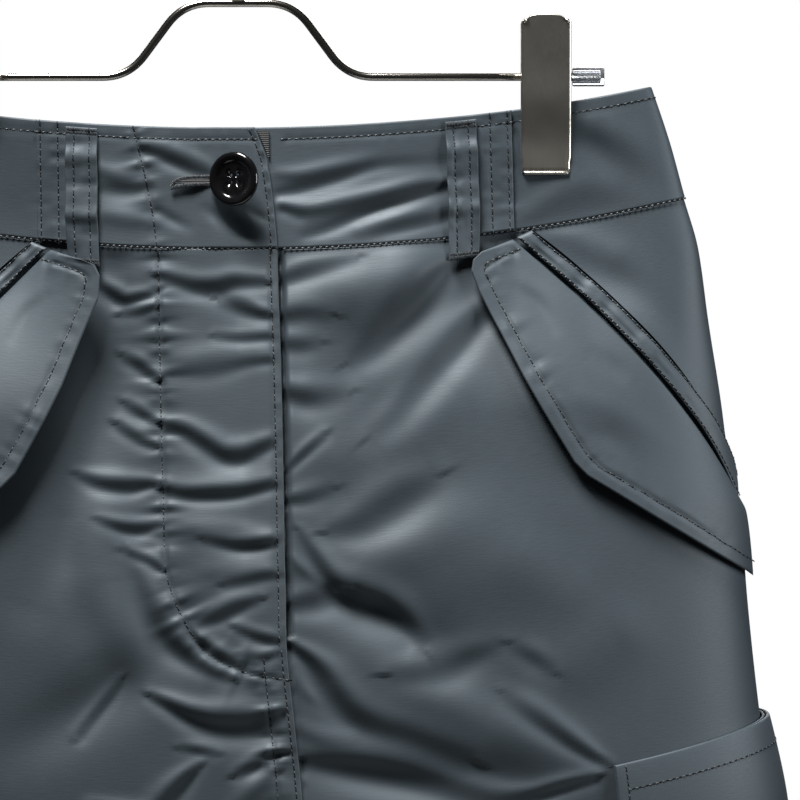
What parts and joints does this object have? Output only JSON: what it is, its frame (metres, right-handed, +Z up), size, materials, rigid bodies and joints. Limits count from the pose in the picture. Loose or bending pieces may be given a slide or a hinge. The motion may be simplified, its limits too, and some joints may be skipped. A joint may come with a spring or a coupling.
{
  "type": "cargo utility skirt on a clip hanger",
  "caption": "Cargo utility skirt in satin cloth with flapped hip and side pockets, a buttoned fly and belt loops, hanging from a metal clip hanger.",
  "frame": {"origin": "the inner top of the hook's bow, where a rail carries the hanger", "axes": "+Z up, +Y from the front of the skirt to its back, +X to the right as seen from the front"},
  "size_m": [0.432, 0.1211, 0.7302],
  "materials": {
    "satin_cloth": "smooth grey synthetic satin with a soft sheen and tone-on-tone stitching",
    "ribbed_tape": "black ribbed tape",
    "button_thread": "dark sewing thread",
    "button_horn": "glossy black with a dished centre",
    "brushed_clip": "brushed dark nickel, grain running up and down",
    "polished_wire": "polished nickel wire",
    "clear_cap": "clear soft plastic"
  },
  "bodies": {
    "root": {"front_left": "satin_cloth", "front_right": "satin_cloth", "hip_piece_left": "satin_cloth", "hip_piece_right": "satin_cloth", "back_left": "satin_cloth", "back_right": "satin_cloth", "waistband_front_left": "satin_cloth", "waistband_front_right": "satin_cloth", "waistband_back_left": "satin_cloth", "waistband_back_right": "satin_cloth", "belt_loop_front_left": "satin_cloth", "belt_loop_front_right": "satin_cloth", "belt_loop_back_left": "satin_cloth", "belt_loop_back_right": "satin_cloth", "belt_loop_centre_back": "satin_cloth", "hip_welt_left": "satin_cloth", "hip_flap_left": "satin_cloth", "hip_welt_right": "satin_cloth", "hip_flap_right": "satin_cloth", "cargo_pocket_left": "satin_cloth", "cargo_flap_left": "satin_cloth", "cargo_pocket_right": "satin_cloth", "cargo_flap_right": "satin_cloth", "waist_tape": "ribbed_tape", "button_shank": "button_thread", "button": "button_horn", "hanger_bar": "polished_wire", "hanger_hook": "polished_wire", "hanger_collar": "brushed_clip", "end_cap_left": "clear_cap", "end_cap_right": "clear_cap", "clip_right_front": "brushed_clip", "clip_right_back": "brushed_clip", "clip_right_spring": "polished_wire", "clip_left_front": "brushed_clip", "clip_left_back": "brushed_clip", "clip_left_spring": "polished_wire"}
  },
  "joints": []
}
